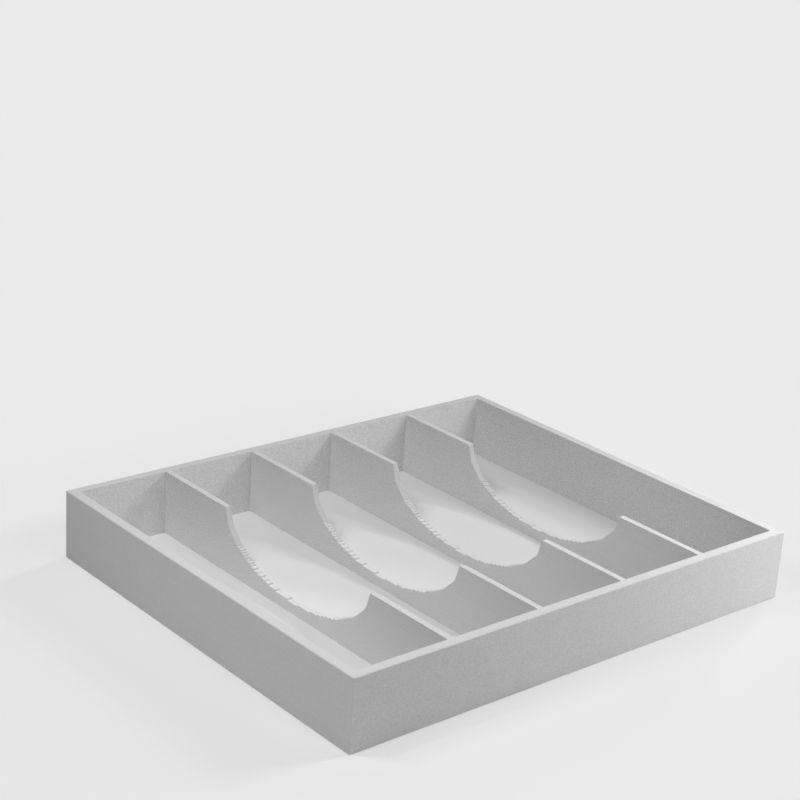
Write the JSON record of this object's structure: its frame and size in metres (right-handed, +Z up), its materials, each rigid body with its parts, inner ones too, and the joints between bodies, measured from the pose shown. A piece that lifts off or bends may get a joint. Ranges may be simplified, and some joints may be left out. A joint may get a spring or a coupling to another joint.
{
  "type": "storage tray",
  "caption": "Open rectangular tray for saw blades: mitred walls, a flat floor and parallel dividers, each with a wide finger scoop in its top edge.",
  "frame": {"origin": "middle of the underside, on the surface that the tray stands on", "axes": "+X across the row of compartments, towards the right wall; +Y along the blades, towards the back wall; +Z up"},
  "size_m": [0.24, 0.2, 0.0316],
  "materials": {
    "wall_pla": "matt light grey PLA, printed standing, with level layers of 0.68 mm, a fine dry grain and a smooth rim",
    "divider_pla": "matt light grey PLA, printed standing, with level layers of 0.68 mm that show as steps where the scoop is shallow",
    "floor_pla": "matt pale grey PLA, printed flat, smooth, with faint beads at 45 degrees"
  },
  "bodies": {
    "root": {"floor_panel": "floor_pla", "front_wall": "wall_pla", "back_wall": "wall_pla", "left_wall": "wall_pla", "right_wall": "wall_pla", "divider_1": "divider_pla", "divider_2": "divider_pla", "divider_3": "divider_pla", "divider_4": "divider_pla"}
  },
  "joints": []
}
